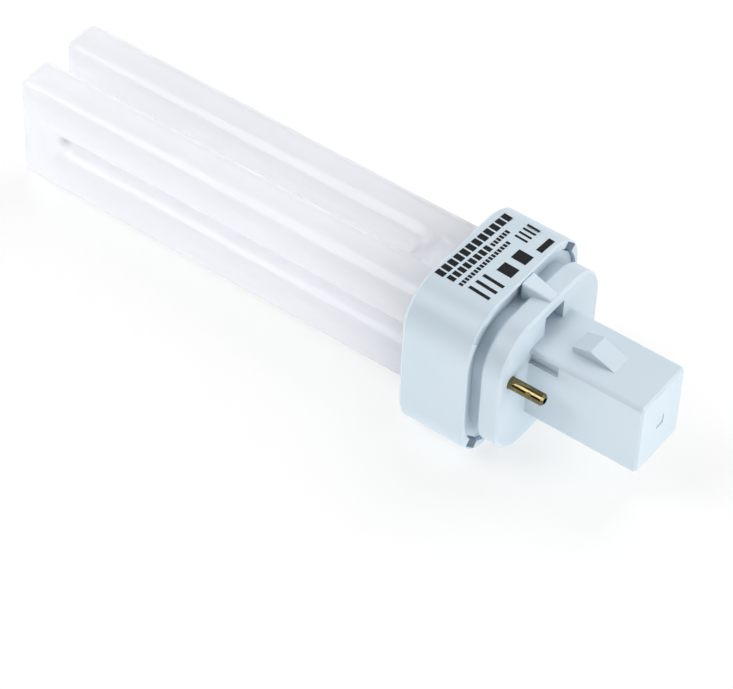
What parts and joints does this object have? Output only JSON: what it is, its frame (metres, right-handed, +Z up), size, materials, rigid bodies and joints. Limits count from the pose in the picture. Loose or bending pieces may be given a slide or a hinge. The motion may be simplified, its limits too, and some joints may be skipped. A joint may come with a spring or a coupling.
{
  "type": "compact fluorescent bulb",
  "caption": "Plug-in compact fluorescent bulb: opal glass twin tubes joined by a bridge, in a rounded-square white cap with a keyed collar, a square plug post and brass contact pins.",
  "frame": {"origin": "on the table, under the middle of the bulb's box, with the bulb lying as it comes to rest", "axes": "+X along the bulb towards the plug (the plug end is raised by about 3 degrees), +Y to the far side, +Z up"},
  "size_m": [0.1394, 0.0348, 0.0355],
  "materials": {
    "opal_glass": "glossy clear glass, coated white inside",
    "white_plastic": "moulded, satin",
    "brass": "drawn and crimped, bright",
    "bonding_compound": "poured, matt",
    "starter_glass": "clear glass",
    "dipped_coating": "dipped, glossy",
    "tinned_wire": "tinned"
  },
  "bodies": {
    "root": {"discharge_tube": "opal_glass", "tube_holder": "white_plastic", "tube_adhesive": "bonding_compound", "plug_base": "white_plastic", "contact_pin_near": "brass", "contact_pin_far": "brass", "glow_starter": "starter_glass", "starter_capacitor": "dipped_coating", "pin_lead_near": "tinned_wire", "pin_lead_far": "tinned_wire", "starter_lead_near": "tinned_wire", "starter_lead_far": "tinned_wire", "capacitor_leg_near": "tinned_wire", "capacitor_leg_far": "tinned_wire"}
  },
  "joints": []
}
